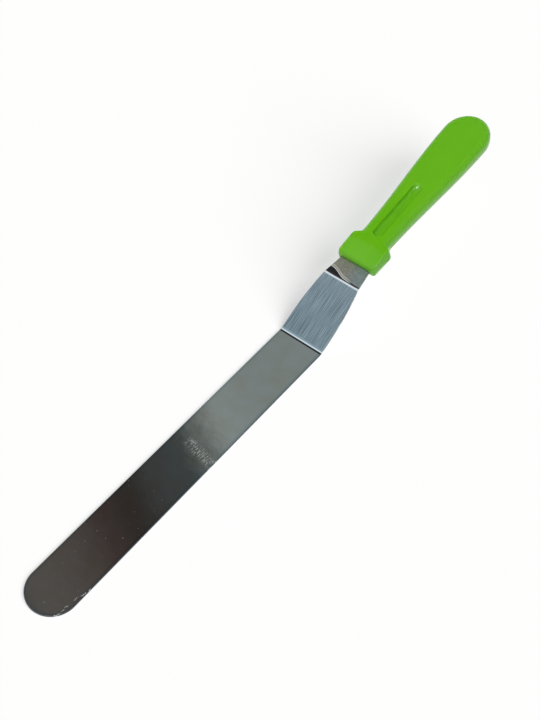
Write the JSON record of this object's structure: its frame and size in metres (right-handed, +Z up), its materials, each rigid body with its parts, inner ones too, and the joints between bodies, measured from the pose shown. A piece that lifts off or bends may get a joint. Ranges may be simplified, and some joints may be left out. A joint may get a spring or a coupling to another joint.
{
  "type": "offset icing spatula",
  "caption": "Offset icing spatula: a long flat stainless blade with a round tip, cranked up to a moulded plastic handle with a grooved grip, for spreading icing on cakes.",
  "frame": {"origin": "on the plane that the blade lies on, under the middle of the overall length and width", "axes": "+X from the blade's tip towards the handle, +Z up from the table, +Y across the blade"},
  "size_m": [0.391, 0.0294, 0.0467],
  "materials": {
    "stainless_steel": "rolled bright, brushed along its length",
    "green_plastic": "moulded, satin gloss"
  },
  "bodies": {
    "root": {"blade": "stainless_steel", "handle": "green_plastic"}
  },
  "joints": []
}
